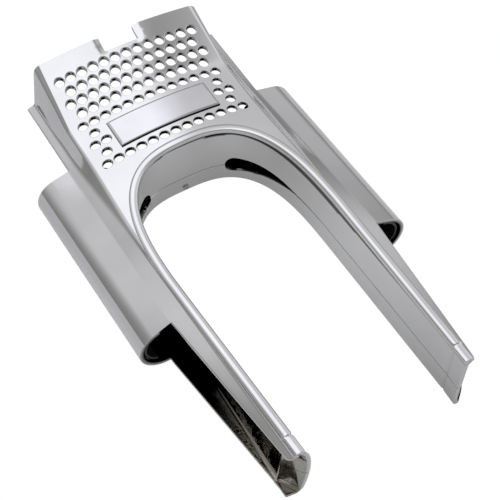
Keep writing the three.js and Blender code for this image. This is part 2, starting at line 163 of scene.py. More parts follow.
def even_steps(spacing, extra=()):
    """Steps that are spacing millimetres apart along the wall, with any extra distances added, and
    their distances along the wall."""
    fine = np.linspace(0, 2, 2 * FINE + 1)
    distance = distances_along(opening_curve(OPENING, fine))
    wanted = np.arange(0, distance[-1], spacing)
    wanted = np.unique(np.concatenate([wanted, [distance[-1]], np.asarray(extra, float)]))
    return np.interp(wanted, distance, fine), wanted


def both_sides(right):
    """The whole outline, left tip to right tip, from the right half's points."""
    left = right[:0:-1] * np.array([-1.0] + [1.0] * (right.shape[1] - 1))
    return np.concatenate([left, right])


def plan_normals(points):
    """Unit normals to the left of a line of (x, y) points: away from the opening."""
    tangent = np.gradient(points, axis=0)
    tangent /= np.linalg.norm(tangent, axis=1, keepdims=True)
    return np.stack([-tangent[:, 1], tangent[:, 0]], axis=1)


def leg_share(y):
    """0 above the arch's feet, growing to 1 at the leg tips."""
    return np.clip((ARCH_Y - y) / (ARCH_Y - LEG_Y), 0, 1)


def lip_reach(x, y, z):
    """How far the tip's flare, less the groove at its start, brings the wall in."""
    from_start = LEG_Y + LIP["length"] - y
    out = np.clip(from_start / LIP["length"], 0, 1)
    up = np.clip((z - LIP["middle_z"]) / LIP["half_height"], -1, 1)
    groove = LIP["groove"] * np.exp(-((from_start / LIP["groove_width"]) ** 2))
    return np.where(x < 0, LIP["left"], LIP["right"]) * out * np.sqrt(1 - up**2) - groove


def wall_place(plan, normals, z, outward=0.0):
    """Points of the wall at height z, moved outward. The wall leans in y all round, and the legs
    spread a little towards the rear as well, most at their tips."""
    x, y = plan[:, 0], plan[:, 1]
    z = np.broadcast_to(z, x.shape)
    spread = leg_share(y) * LEG_DRAFT * (DRAW_Z - z) - lip_reach(x, y, z)
    moved_x = x + normals[:, 0] * outward + np.sign(x) * spread
    moved_y = y + normals[:, 1] * outward + lean(z)
    return np.stack([moved_x, moved_y, z], axis=-1)


# ---- Meshes ----------------------------------------------------------------------------------------
SMOOTH_COS = math.cos(math.radians(32))  # neighbouring faces closer than this are shaded as one
FIXED_COS = math.cos(math.radians(50))  # a face further than this from a vertex's own normal ignores it


class Part:
    """A closed surface: points, faces, which points are on its hidden inner side or in a band of painted
    shade, both marked inner, and, where known, the exact normals of its points."""

    def __init__(self, points, faces, normals=None, inner=None):
        self.points = np.asarray(points, float)
        self.faces = [tuple(int(i) for i in face) for face in faces]
        self.normals = np.full(self.points.shape, np.nan) if normals is None else normals
        self.inner = np.zeros(len(self.points)) if inner is None else inner


def welded(points, faces, extras):
    """Joins points that coincide. Each extra array is carried along with the points it belongs to."""
    keys = np.round(points, 3)
    _, first, inverse = np.unique(keys, axis=0, return_index=True, return_inverse=True)
    inverse = inverse.reshape(-1)
    kept = []
    for face in faces:
        ring = [inverse[i] for i in face]
        ring = [v for k, v in enumerate(ring) if v != ring[k - 1]]
        if len(set(ring)) == len(ring) and len(ring) > 2:
            kept.append(tuple(ring))
    return points[first], kept, [extra[first] for extra in extras]


def shell(front, back, faces, normals=None):
    """Closes an open front surface with the same surface at its back points and with its rims."""
    if normals is None:
        normals = np.full(front.shape, np.nan)
    front, faces, (back, normals) = welded(front, faces, (back, normals))
    count = len(front)
    open_edges = {}
    for face in faces:
        for k, a in enumerate(face):
            b = face[(k + 1) % len(face)]
            if (b, a) in open_edges:
                del open_edges[(b, a)]
            else:
                open_edges[(a, b)] = True
    closed = list(faces)
    closed += [tuple(i + count for i in reversed(face)) for face in faces]
    closed += [(b, a, a + count, b + count) for a, b in open_edges]
    points = np.concatenate([front, back])
    normals = np.concatenate([normals, np.full(back.shape, np.nan)])
    return Part(points, closed, normals, np.repeat([0.0, 1.0], count))


def grid_faces(rows, columns, start=0):
    """Quads of a grid stored row by row, facing up when rows run to +Y and columns to +X."""
    faces = []
    for i in range(rows - 1):
        for j in range(columns - 1):
            a = start + i * columns + j
            faces.append((a, a + 1, a + columns + 1, a + columns))
    return faces


def sheet(front, back, flip=False):
    """A closed sheet from two grids of points with the same rows and columns."""
    rows, columns = front.shape[:2]
    faces = grid_faces(rows, columns)
    if flip:
        faces = [tuple(reversed(face)) for face in faces]
    return shell(front.reshape(-1, 3), back.reshape(-1, 3), faces)


def sections(lines, ys, side=1, slope=0.0):
    """Points (x, y, z) of a grid whose row k is the (x, z) line k at ys[k], mirrored for side -1."""
    x, z = lines[..., 0] * side, lines[..., 1]
    y = np.broadcast_to(np.asarray(ys, float)[:, None], z.shape) + slope * (DRAW_Z - z)
    return np.stack([x, y, z], axis=-1)


def offset_lines(lines, distance):
    """Each (x, z) line moved to its right-hand side."""
    tangent = np.gradient(lines, axis=1)
    tangent /= np.linalg.norm(tangent, axis=-1, keepdims=True)
    normal = np.stack([-tangent[..., 1], tangent[..., 0]], axis=-1)
    return lines - normal * distance


def corner_normals(points, faces, fixed):
    """A normal for each corner of each face: the point's own where it is known and near, and
    otherwise the mean of the neighbouring faces that are nearly in line with this face."""
    sizes = np.array([len(face) for face in faces])
    corners = np.concatenate([np.asarray(face) for face in faces])
    owner = np.repeat(np.arange(len(faces)), sizes)
    starts = np.concatenate([[0], np.cumsum(sizes)[:-1]])
    after = np.arange(len(corners)) + 1
    after[starts + sizes - 1] = starts
    a, b = points[corners], points[corners[after]]
    area = np.zeros((len(faces), 3))
    np.add.at(area, owner, np.cross(a, b))
    size = np.linalg.norm(area, axis=1, keepdims=True)
    flat = area / np.maximum(size, 1e-12)

    order = np.argsort(corners, kind="stable")
    grouped = corners[order]
    edges = np.flatnonzero(np.diff(grouped)) + 1
    counts = np.diff(np.concatenate([[0], edges, [len(grouped)]]))
    repeats = np.repeat(counts, counts)
    group_start = np.repeat(np.concatenate([[0], edges]), counts)
    first = np.repeat(np.arange(len(order)), repeats)
    offset = np.arange(len(first)) - np.repeat(np.cumsum(repeats) - repeats, repeats)
    second = np.repeat(group_start, repeats) + offset
    mine, theirs = owner[order[first]], owner[order[second]]
    near = np.einsum("ij,ij->i", flat[mine], flat[theirs]) > SMOOTH_COS
    total = np.zeros((len(corners), 3))
    np.add.at(total, order[first[near]], area[theirs[near]])
    total /= np.maximum(np.linalg.norm(total, axis=1, keepdims=True), 1e-12)

    own = fixed[corners]
    use = np.einsum("ij,ij->i", np.nan_to_num(own), flat[owner]) > FIXED_COS
    total[use] = own[use]
    return total


def piece(name, parts, material, nodes):
    """One visible piece made of closed parts, standing for the CAD nodes."""
    points, faces, normals, inner = [], [], [], []
    start = 0
    for part in parts:
        points.append(part.points)
        normals.append(part.normals)
        inner.append(part.inner)
        faces += [tuple(i + start for i in face) for face in part.faces]
        start += len(part.points)
    points, normals = np.concatenate(points), np.concatenate(normals)
    mesh = bpy.data.meshes.new(name)
    mesh.from_pydata((points * MM).tolist(), [], faces)
    mesh.polygons.foreach_set("use_smooth", [True] * len(faces))
    mesh.normals_split_custom_set(corner_normals(points, faces, normals).tolist())
    mesh.attributes.new("inner", "FLOAT", "POINT").data.foreach_set("value", np.concatenate(inner))
    mesh.materials.append(material)
    made = bpy.data.objects.new(name, mesh)
    bpy.context.collection.objects.link(made)
    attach(made, "root")
    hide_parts(*nodes)
    return made


def inside(points, polygon):
    """Which (x, y) points lie inside a closed polygon."""
    x, y = points[:, 0][:, None], points[:, 1][:, None]
    ax, ay = polygon[:, 0], polygon[:, 1]
    bx, by = np.roll(ax, -1), np.roll(ay, -1)
    crosses = (ay > y) != (by > y)
    where = ax + (y - ay) * (bx - ax) / np.where(by == ay, 1e-9, by - ay)
    return (crosses & (x < where)).sum(axis=1) % 2 == 1


def triangulated(outline, rings, spacing):
    """Points and triangles that fill an outline around closed rings, with inner points in staggered
    rows at about the given spacing. The outline's points come first, and then each ring's."""
    loops = [outline] + rings
    fixed = np.concatenate(loops)
    edges = []
    start = 0
    for loop in loops:
        count = len(loop)
        edges += [(start + k, start + (k + 1) % count) for k in range(count)]
        start += count
    low, high = outline.min(axis=0), outline.max(axis=0)
    xs = np.arange(low[0] + spacing / 2, high[0], spacing)
    ys = np.arange(low[1] + spacing / 2, high[1], spacing * 0.87)
    inner = np.array([(x + (k % 2) * spacing / 2, y) for k, y in enumerate(ys) for x in xs])
    inner = inner[inside(inner, outline)]
    for ring in rings:
        inner = inner[~inside(inner, ring)]
    keep = np.array([np.min(np.sum((fixed - p) ** 2, axis=1)) for p in inner]) > (spacing * 0.4) ** 2
    inner = inner[keep]
    every = np.concatenate([fixed, inner])
    result = delaunay_2d_cdt([Vector(p) for p in every], edges, [], 0, 1e-5)
    points = np.array([tuple(p) for p in result[0]])
    triangles = np.array([tuple(face) for face in result[2]])
    middles = points[triangles].mean(axis=1)
    good = inside(middles, points[:len(outline)])
    start = len(outline)
    for ring in rings:
        good &= ~inside(middles, points[start:start + len(ring)])
        start += len(ring)
    a, b, c = (points[triangles[:, k]] for k in range(3))
    turn = (b[:, 0] - a[:, 0]) * (c[:, 1] - a[:, 1]) - (b[:, 1] - a[:, 1]) * (c[:, 0] - a[:, 0])
    triangles[turn < 0] = triangles[turn < 0][:, ::-1]
    points[:len(fixed)] = fixed
    return points, triangles[good]


def bend(before, corner, after, count=7):
    """A rounded corner: a quadratic curve from one point to the other, drawn to the corner."""
    t = np.linspace(0, 1, count)[:, None]
    before, corner, after = (p[..., None, :] for p in (before, corner, after))
    return (1 - t) ** 2 * before + 2 * t * (1 - t) * corner + t**2 * after


def towards(a, b, distance):
    """The point that lies distance from a on the way to b."""
    step = b - a
    return a + step * (distance / np.linalg.norm(step, axis=-1, keepdims=True))


# ---- Front moulding: grille face, side walls and flanges -------------------------------------------
EDGE_ROUND = 1.4
EAR_EDGE_ROUND = 4.0  # at the top, where the plate rolls down into its side walls
FOOT_ROUND = 1.6
TIP_ROUND = 3.0  # corner of the flange at the leg's tip
NOTCH_HALF = 11.0
NOTCH_Y = 135.0
EAR_ROLL = 4.5  # width of the rolled-down end of each ear
EAR_DROP = 0.9
FLANGE_ROUND = 0.8  # how far the flange's outer edge is rounded
FLANGE_POINTS = 5  # points round that edge, which share one back point
CREASE_REACH = 4.0  # how far the close sections go to each side of the crease
FACE_SPACING = 2.6
DRAW = np.array([0.0, DRAW_SLOPE, -1.0])  # the way the holes are drawn through the plate
# The first four rows lie on the steep slope above the crease, and the fifth starts the gentle one.
GRILLE = {"pitch": 7.3, "radius": 3.0, "fillet": 0.5, "points": 28, "columns": 13, "rows": 9,
          "first_y": 129.6, "steep_row": 6.95, "steep_rows": 4, "fifth_y": 100.5, "row": 8.3}
HOLES_BESIDE_BADGE = {6: 1, 7: 2, 8: 1}  # row: how many holes stay on each side
NOTCH_DROP = {"below": 3.0, "over": 4.0}  # the ears' ends roll down from this far below the notch's foot


def ear_drop(x, y):
    """How far the ears are rolled down beside the notch."""
    near_notch = np.clip((NOTCH_HALF + EAR_ROLL - np.abs(x)) / EAR_ROLL, 0, 1)
    above = np.clip((y - NOTCH_Y + NOTCH_DROP["below"]) / NOTCH_DROP["over"], 0, 1)
    return EAR_DROP * near_notch**2 * above


def surface_z(x, y):
    return crown_z(x, y) - ear_drop(x, y)


def surface_points(plan):
    z = surface_z(plan[:, 0], plan[:, 1])
    return np.stack([plan[:, 0], plan[:, 1] + leg_lean(plan[:, 1], z), z], axis=1)


def surface_normals(plan):
    x, y = plan[:, 0], plan[:, 1]
    near = 0.05
    slope_x = (surface_z(x + near, y) - surface_z(x - near, y)) / (2 * near)
    slope_y = (surface_z(x, y + near) - surface_z(x, y - near)) / (2 * near)
    normals = np.stack([-slope_x, -slope_y, np.ones(len(x))], axis=1)
    return normals / np.linalg.norm(normals, axis=1, keepdims=True)


def hole_centres():
    """Rows of holes, each second one moved by half a pitch, that leave room for the badge."""
    centres = []
    for row in range(1, GRILLE["rows"] + 1):
        below_crease = row - GRILLE["steep_rows"] - 1
        y = GRILLE["fifth_y"] - GRILLE["row"] * below_crease
        if below_crease < 0:
            y = GRILLE["first_y"] - GRILLE["steep_row"] * (row - 1)
        places = GRILLE["columns"] - (row + 1) % 2
        kept = HOLES_BESIDE_BADGE.get(row, places)
        for place in range(places):
            if min(place, places - 1 - place) < kept:
                centres.append(((place - (places - 1) / 2) * GRILLE["pitch"], y))
    return centres


def hole_ring(centre, radius):
    """A hole's rim in plan. The plate's slope shortens it, because the hole follows the draw."""
    x, y = centre
    slope = (crown_z(np.array(x), np.array(y + 1.0)) - crown_z(np.array(x), np.array(y - 1.0))) / 2
    turn = np.linspace(0, 2 * math.pi, GRILLE["points"], endpoint=False)
    squash = 1 / (1 + DRAW_SLOPE * float(slope))
    return np.stack([x + radius * np.cos(turn), y + radius * squash * np.sin(turn)], axis=1)


def face_stations():
    """The sides' sections, closer together at the leg's tip and at the crease."""
    tip = LEG_Y + np.linspace(0, TIP_ROUND, 9)
    leg = np.arange(LEG_Y + TIP_ROUND + 1, CREASE_Y - CREASE_REACH, 2.0)
    crease = np.arange(CREASE_Y - CREASE_REACH, CREASE_Y + CREASE_REACH, 0.5)
    upper = np.linspace(CREASE_Y + CREASE_REACH, TOP_Y, 20)
    return np.concatenate([tip, leg, crease, upper])


def tip_cut(from_tip, radius):
    """How far a corner of this radius draws an edge in, at a distance from the leg's tip."""
    into = np.clip(1 - from_tip / radius, 0, 1)
    return radius * (1 - np.sqrt(1 - into**2))


def side_lines(ys):
    """Sections (x, z) of the side from the face's edge over the wall and its foot to the flange."""
    edge = np.stack([edge_x(ys), edge_z(ys)], axis=1)
    foot = np.stack([foot_x(ys), foot_z(ys)], axis=1)
    tip = np.stack([flange_x(ys), flange_z(ys)], axis=1)
    tip = towards(tip, foot, tip_cut(ys - LEG_Y, TIP_ROUND)[:, None])
    reach = np.interp(ys, [CREASE_Y, TOP_Y], [EDGE_ROUND, EAR_EDGE_ROUND])
    height = np.linalg.norm(foot - edge, axis=1, keepdims=True)
    width = np.linalg.norm(tip - foot, axis=1, keepdims=True)
    edge_round = np.minimum(reach[:, None], 0.4 * height)
    foot_round = np.minimum(FOOT_ROUND, 0.4 * np.minimum(height, width))
    start_x = edge_x(ys) - reach
    start = np.stack([start_x, surface_z(start_x, ys)], axis=1)
    drop = np.array([0.0, -FLANGE_ROUND])
    lines = [
        bend(start, edge, towards(edge, foot, edge_round)),
        ((edge + foot) / 2)[:, None, :],
        bend(towards(foot, edge, foot_round), foot, towards(foot, tip, foot_round)),
        ((foot + tip) / 2)[:, None, :],
        bend(towards(tip, foot, np.minimum(FLANGE_ROUND, 0.3 * width)), tip, tip + drop, FLANGE_POINTS),
    ]
    return np.concatenate(lines, axis=1)


def face_outline(edge):
    """The plate in plan: right edge, top with its notch, left edge and wheel opening."""
    steps, _ = even_steps(2.0)
    opening = both_sides(opening_curve(BEAD_LINE, steps))
    opening[[0, -1], 1] = LEG_Y
    top = [(x, TOP_Y) for x in np.linspace(edge[-1, 0], NOTCH_HALF, 22)[1:]]
    notch = [(NOTCH_HALF, y) for y in np.linspace(TOP_Y, NOTCH_Y, 6)[1:]]
    notch += [(x, NOTCH_Y) for x in np.linspace(NOTCH_HALF, -NOTCH_HALF, 12)[1:]]
    notch += [(-NOTCH_HALF, y) for y in np.linspace(NOTCH_Y, TOP_Y, 6)[1:]]
    left_top = [(-x, y) for x, y in top[::-1]][1:]
    left_edge = edge[::-1] * np.array([-1.0, 1.0])
    return np.concatenate([edge, top, notch, left_top, left_edge, opening])


# A patch is a stretch of the front moulding: front points, back points, normals, and faces whose
# numbers count the patch's own points.
def plate_patch(edge, rings):
    """The plate between its outline and the holes' rings."""
    plan, triangles = triangulated(face_outline(edge), rings, FACE_SPACING)
    front = surface_points(plan)
    back = front + DRAW * PLATE
    back[:, 1] = np.minimum(back[:, 1], TOP_Y)
    return front, back, surface_normals(plan), [tuple(triangle) for triangle in triangles]


def hole_patch(centre):
    """A hole's rounded rim, from its ring in the plate down into the hole."""
    count = GRILLE["points"]
    fronts, backs, normals, faces = [], [], [], []
    for k, turn in enumerate(np.linspace(0, math.pi / 2, 5)):
        ring = hole_ring(centre, GRILLE["radius"] + GRILLE["fillet"] * (1 - math.sin(turn)))
        surface = surface_points(ring)
        depth = GRILLE["fillet"] * (1 - math.cos(turn))
        fronts.append(surface + DRAW * depth)
        backs.append(surface + DRAW * PLATE)
        inward = np.array([*centre, 0.0]) - np.column_stack([ring, np.zeros(count)])
        inward /= np.linalg.norm(inward, axis=1, keepdims=True)
        normals.append(surface_normals(ring) * math.cos(turn) + inward * math.sin(turn))
        if k:
            last = (k - 1) * count
            for i in range(count):
                a, b = last + i, last + (i + 1) % count
                faces.append((a, b, b + count, a + count))
    return np.concatenate(fronts), np.concatenate(backs), np.concatenate(normals), faces


def side_patch(lines, ys, sign):
    """The outer wall and the flange on one side. The back of the wall hangs from the plate's back."""
    behind = offset_lines(lines, PLATE)
    behind[:, -FLANGE_POINTS:] = behind[:, -FLANGE_POINTS:1 - FLANGE_POINTS]
    behind[:, 0] = lines[:, 0] + np.array([0, -PLATE])
    grids = [sections(each, ys, sign) for each in (lines, behind)]
    for grid in grids:
        grid[..., 1] += leg_lean(grid[..., 1], grid[..., 2])
    faces = grid_faces(*lines.shape[:2])
    if sign < 0:
        faces = [tuple(reversed(face)) for face in faces]
    front, back = (grid.reshape(-1, 3) for grid in grids)
    return front, back, np.full(front.shape, np.nan), faces


def face_part():
    """The perforated plate with its legs, the outer walls and the flanges."""
    ys = face_stations()
    side = side_lines(ys)
    edge = np.stack([side[:, 0, 0], ys], axis=1)
    centres = hole_centres()
    rings = [hole_ring(centre, GRILLE["radius"] + GRILLE["fillet"]) for centre in centres]
    patches = [plate_patch(edge, rings)]
    patches += [hole_patch(centre) for centre in centres]
    patches += [side_patch(side, ys, sign) for sign in (1, -1)]
    faces = []
    start = 0
    for patch in patches:
        faces += [tuple(i + start for i in face) for face in patch[3]]
        start += len(patch[0])
    front, back, normals = (np.concatenate([patch[k] for patch in patches]) for k in range(3))
    return shell(front, back, faces, normals)


# ---- Front moulding: bead and wall round the wheel opening -----------------------------------------
BEAD = {"half_width": 2.5, "crest": 1.1, "root": 1.2, "limb": 2.2, "undercut": 3.4, "tip_step": 0.4,
        "core": 0.4, "limb_core": 0.3}  # the cores are how far out the points inside the bead lie
# The teardrop opening in the wall: its head's radius, and the x of its head and of its pointed end.
DROP = {"radius": 6.0, "x": 30.0, "tip_x": 47.9}
EDGE_CHAMFER = 0.35
WALL_SPACING = 1.8
LIP_ROWS = {"spacing": 0.6, "count": 24}
# Rows of the upper wall as shares of its height, close together just below the bead.
WALL_ROWS = np.concatenate([[0.0, 0.03, 0.06, 0.09, 0.12], np.linspace(0.16, 1, 14)])
# A band of painted shade in the bead's undercut, from a little below the limb to these depths below the
# face.
# The depth changes over the first part of the leg.
UNDERCUT_SHADE = {"below_limb": 0.7, "arch": 7.3, "leg": 5.4, "change": 0.3}


def wall_distance_at(x):
    """Distance along the wall from the middle of the arch to where it reaches x."""
    points = opening_curve(OPENING, np.linspace(0, 1, FINE + 1))
    return float(np.interp(x, points[:, 0], distances_along(points)))


DROP_START = wall_distance_at(DROP["x"])
DROP_END = wall_distance_at(DROP["tip_x"])


def drop_half(distance):
    """Half the height of the teardrop opening at a distance along the wall."""
    r = DROP["radius"]
    from_head = distance - DROP_START
    head = np.sqrt(np.clip(r**2 - from_head**2, 0, None))
    t = np.clip(from_head / (DROP_END - DROP_START), 0, 1)
    tail = r * (1 - t) ** 1.15 * (1 + 0.35 * t)
    return np.where(from_head < 0, head, np.where(t < 1, tail, 0.0))


def wall_rows():
    """Steps round the right half of the opening, closer together at the teardrop's round end and at
    the tip's flare."""
    turn = np.linspace(0, math.pi / 2, 12)
    head = DROP_START - DROP["radius"] * np.cos(turn)
    lip = even_steps(LIP_ROWS["spacing"])[1][-LIP_ROWS["count"]:]
    return even_steps(WALL_SPACING, np.concatenate([head, lip]))


def strip_rows():
    """Wall points, bead points, the normals of each and the teardrops' half heights, from the left
    tip to the right tip."""
    steps, distance = wall_rows()
    wall = both_sides(opening_curve(OPENING, steps))
    bead = both_sides(opening_curve(BEAD_LINE, steps))
    halves = np.concatenate([drop_half(distance)[:0:-1], drop_half(distance)])
    return wall, bead, plan_normals(wall), plan_normals(bead), halves


def front_strip():
    """The bead, the undercut behind it and the wall down to the seam."""
    wall, bead, wall_out, bead_out, halves = strip_rows()
    face = crown_z(bead[:, 0], bead[:, 1])
    crest = BEAD["crest"] - BEAD["tip_step"] * (bead[:, 1] < LEG_Y + LIP["length"])
    columns, backs = [], []

    def add_bead(out, height, back_out, back_height):
        columns.append(wall_place(bead, bead_out, face + height, out))
        backs.append(wall_place(bead, bead_out, face + back_height, back_out))

    half, root, limb = BEAD["half_width"], BEAD["root"], BEAD["limb"]
    core, limb_core = BEAD["core"], BEAD["limb_core"]
    add_bead(half, -root, core, -root)
    for turn in np.linspace(0, math.pi * 0.95, 15):
        out = half * math.cos(turn)
        add_bead(out, crest * math.sin(turn), max(core, out / 2), -root)
    add_bead(-half, -limb / 2, limb_core, -root - 0.3)
    add_bead(-half * 0.93, -limb, limb_core, -root - 0.6)

    low = seam_z(wall[:, 1]) + GAP / 2 + halves
    top = face - BEAD["undercut"]
    for t in WALL_ROWS:
        z = top + (low + EDGE_CHAMFER - top) * t
        columns.append(wall_place(wall, wall_out, z))
        backs.append(wall_place(wall, wall_out, z, WALL))
    columns.append(wall_place(wall, wall_out, low, EDGE_CHAMFER))
    backs.append(wall_place(wall, wall_out, low, WALL))
    strip = sheet(np.stack(columns, axis=1), np.stack(backs, axis=1), flip=True)
    # Painted shade: the undercut's band is marked inner, so it takes the dark inside colour.
    depth = crown_z(strip.points[:, 0], strip.points[:, 1]) - strip.points[:, 2]
    shares = leg_share(strip.points[:, 1])
    limit = np.interp(shares, [0, UNDERCUT_SHADE["change"]], [UNDERCUT_SHADE["arch"], UNDERCUT_SHADE["leg"]])
    strip.inner[(depth > limb + UNDERCUT_SHADE["below_limb"]) & (depth < limit)] = 1.0
    return strip


# ---- Fork-tube covers ------------------------------------------------------------------------------
COVER_ROOT = {"reach": 2.0, "sunk": 0.08, "round": 0.6}  # how the front half meets the flange
REAR_COVER = {"end": -95.0, "root_in": 4.5, "root_height": 0.72}  # its last angle, then its inner edge


def tube_arc(ys, start, end, count, inset=0.0):
    """Lines (x, z) on the cover's round between two angles in radians, given per station."""
    t = np.linspace(0, 1, count)[None, :]
    start, end = np.broadcast_to(start, ys.shape), np.broadcast_to(end, ys.shape)
    angle = start[:, None] * (1 - t) + end[:, None] * t
    radius = TUBE_R - inset
    x = tube_x(ys)[:, None] + radius * np.cos(angle)
    z = tube_z(ys)[:, None] + radius * np.sin(angle)
    return np.stack([x, z], axis=-1)


def seam_angle(ys, gap):
    """Where the cover's round is this far above the seam."""
    return np.arcsin((seam_z(ys) + gap - tube_z(ys)) / TUBE_R)


def tangent_angle(ys):
    """Where a straight line from the flange's edge meets the cover's round."""
    dx, dz = flange_x(ys) - tube_x(ys), flange_z(ys) - tube_z(ys)
    return np.arctan2(dz, dx) - np.arccos(TUBE_R / np.hypot(dx, dz))


def cover_stations():
    return np.linspace(TUBE_END_Y, TUBE_TOP_Y, 40)


def cover_sheet(lines, ys, sign, thickness):
    """A sheet along a fork tube from its outer lines."""
    outer = sections(lines, ys, sign, TUBE_LEAN)
    inner = sections(offset_lines(lines, thickness), ys, sign, TUBE_LEAN)
    return sheet(outer, inner, sign < 0)


def front_cover(sign):
    """From under the flange's edge over the cover's round to the seam."""
    ys = cover_stations()
    edge = np.stack([flange_x(ys), flange_z(ys)], axis=1)
    foot = np.stack([foot_x(ys), foot_z(ys)], axis=1)
    root = towards(edge, foot, COVER_ROOT["reach"]) - np.array([0, COVER_ROOT["sunk"]])
    arc = tube_arc(ys, tangent_angle(ys), seam_angle(ys, GAP / 2), 30)
    rounding = COVER_ROOT["round"]
    crease = bend(towards(edge, root, rounding), edge, towards(edge, arc[:, 0], rounding), 4)
    middle = (edge + arc[:, 0]) / 2
    lines = np.concatenate([root[:, None, :], crease, middle[:, None, :], arc], axis=1)
    return cover_sheet(lines, ys, sign, WALL)


def rear_cover(sign):
    """From the seam round the back of the cover to the rear floor."""
    ys = cover_stations()
    arc = tube_arc(ys, seam_angle(ys, -GAP / 2), math.radians(REAR_COVER["end"]), 16)
    root = np.stack([rear_x(ys) - REAR_COVER["root_in"], rear_z(ys) * REAR_COVER["root_height"]], axis=1)
    return cover_sheet(np.concatenate([arc, root[:, None, :]], axis=1), ys, sign, WALL)


# ---- Rear moulding ---------------------------------------------------------------------------------
CORNER_R = 2.4
LEG_CORNER_R = 3.6
REAR_TIP_ROUND = 3.4
FLANGE_LEAST = 0.3  # the rear flange's least width, at the leg's tip
FLOOR_SPACING = 3.0
TOWERS = ((47.0, 66.0), (54.5, 30.0))
TOWER = {"radius": 4.6, "foot": 0.4, "seat": 6.2, "top": 8.7, "bore": 3.4, "hole": 1.9, "mouth": 3.9}
BOSS = {"radius": 3.0, "bore": 1.8, "depth": 4.0, "tops": (44.0, 41.5)}  # one top for each tower


def floor_z(x, y):
    """Height of the rear surface, which rises from the legs' inner corners to their outer edges."""
    t = np.clip((np.abs(x) - corner_x(y)) / (rear_x(y) - corner_x(y)), 0, 1)
    return rear_z(y) * t**1.7


def corner_round(y):
    """Radius of the wall's rear corner."""
    return CORNER_R + (LEG_CORNER_R - CORNER_R) * leg_share(y)


def rear_strip():
    """The wall from the seam down to its rounded rear corner."""
    wall, _, wall_out, _, halves = strip_rows()
    high = seam_z(wall[:, 1]) - GAP / 2 - halves
    radius = corner_round(wall[:, 1])
    columns = [wall_place(wall, wall_out, high, EDGE_CHAMFER)]
    backs = [wall_place(wall, wall_out, high, WALL)]
    top = high - EDGE_CHAMFER
    for t in np.linspace(0, 1, 10):
        z = top + (radius - top) * t
        columns.append(wall_place(wall, wall_out, z))
        backs.append(wall_place(wall, wall_out, np.maximum(z, WALL), WALL))
    for turn in np.linspace(0, math.pi / 2, 8)[1:]:
        out, z = radius * (1 - math.cos(turn)), radius * (1 - math.sin(turn))
        columns.append(wall_place(wall, wall_out, z, out))
        backs.append(wall_place(wall, wall_out, np.full(len(wall), WALL), np.maximum(out, WALL)))
    return sheet(np.stack(columns, axis=1), np.stack(backs, axis=1), flip=True)


def floor_outline():
    """The rear in plan: right leg and side, top, left side and leg, and wheel opening."""
    steps, _ = even_steps(2.5)
    line = both_sides(opening_curve(OPENING, steps))
    inner = wall_place(line, plan_normals(line), np.zeros(len(line)), corner_round(line[:, 1]))[:, :2]
    end_y = inner[0, 1]
    leg_ys = np.concatenate([end_y + np.linspace(0, REAR_TIP_ROUND, 10),
                             np.linspace(end_y + REAR_TIP_ROUND + 2, FLOOR_TOP_Y, 90)])
    outer = np.stack([rear_x(leg_ys) - tip_cut(leg_ys - end_y, REAR_TIP_ROUND), leg_ys], axis=1)
    outer[:, 0] = np.maximum(outer[:, 0], inner[-1, 0] + FLANGE_LEAST)
    top = [(x, FLOOR_TOP_Y) for x in np.linspace(outer[-1, 0], 0, 30)[1:]]
    right = np.concatenate([outer, top])
    left = right[-2::-1] * np.array([-1.0, 1.0])
    return np.concatenate([right, left, inner])


def floor_part():
    """The rear floor and the legs' rear flanges, with the screw towers' mouths left open."""
    turn = np.linspace(0, 2 * math.pi, 32, endpoint=False)
    circle = np.stack([np.cos(turn), np.sin(turn)], axis=1) * TOWER["mouth"]
    rings = [circle + np.array([sign * x, y]) for x, y in TOWERS for sign in (1, -1)]
    plan, triangles = triangulated(floor_outline(), rings, FLOOR_SPACING)
    front = np.column_stack([plan, floor_z(plan[:, 0], plan[:, 1])])
    back = front + np.array([0, 0, WALL])
    return shell(front, back, [tuple(reversed(triangle)) for triangle in triangles])


def lathe(profile, centre, count=32):
    """A closed ring turned about the upright line through centre. The profile is (radius, z)."""
    turn = np.linspace(0, 2 * math.pi, count, endpoint=False)
    points, faces = [], []
    steps = len(profile)
    for angle in turn:
        for radius, z in profile:
            points.append((centre[0] + radius * math.cos(angle), centre[1] + radius * math.sin(angle), z))
    for i in range(count):
        for j in range(steps):
            a, b = i * steps + j, i * steps + (j + 1) % steps
            c = ((i + 1) % count) * steps
            faces.append((a, c + j, c + (j + 1) % steps, b))
    return Part(points, faces)


def towers():
    """The rear moulding's hollow posts, in which the screws' heads sit."""
    t = TOWER
    profile = [(t["hole"], t["top"]), (t["hole"], t["seat"]), (t["bore"], t["seat"]),
               (t["bore"], t["foot"]), (t["radius"], t["foot"]), (t["radius"], t["top"])]
    return [lathe(profile, (sign * x, y)) for x, y in TOWERS for sign in (1, -1)]


def bosses():
    """The front moulding's posts, which the screws bite into."""
    foot = TOWER["top"] + GAP
    made = []
    for (x, y), top in zip(TOWERS, BOSS["tops"]):
        profile = [(BOSS["bore"], top - BOSS["depth"]), (BOSS["bore"], foot),
                   (BOSS["radius"], foot), (BOSS["radius"], top)]
        made += [lathe(profile, (sign * x, y)) for sign in (1, -1)]
    return made


# ---- Liners and badge ------------------------------------------------------------------------------
LINER = {"inset": WALL + 1.3, "thickness": 1.2, "start": 78.0, "end": -62.0, "short": 1.5, "rib": 2.0}


def liner(sign):
    """The cover's inner skin and the rib along the seam that holds it."""
    ys = np.linspace(TUBE_END_Y + LINER["short"], TUBE_TOP_Y - LINER["short"], 30)
    skin = tube_arc(ys, math.radians(LINER["start"]), math.radians(LINER["end"]), 28, LINER["inset"])
    rib = tube_arc(ys, seam_angle(ys, LINER["rib"]), seam_angle(ys, -LINER["rib"]), 3, WALL + GAP)
    return [cover_sheet(skin, ys, sign, LINER["thickness"]),
            cover_sheet(rib, ys, sign, LINER["inset"] - WALL)]


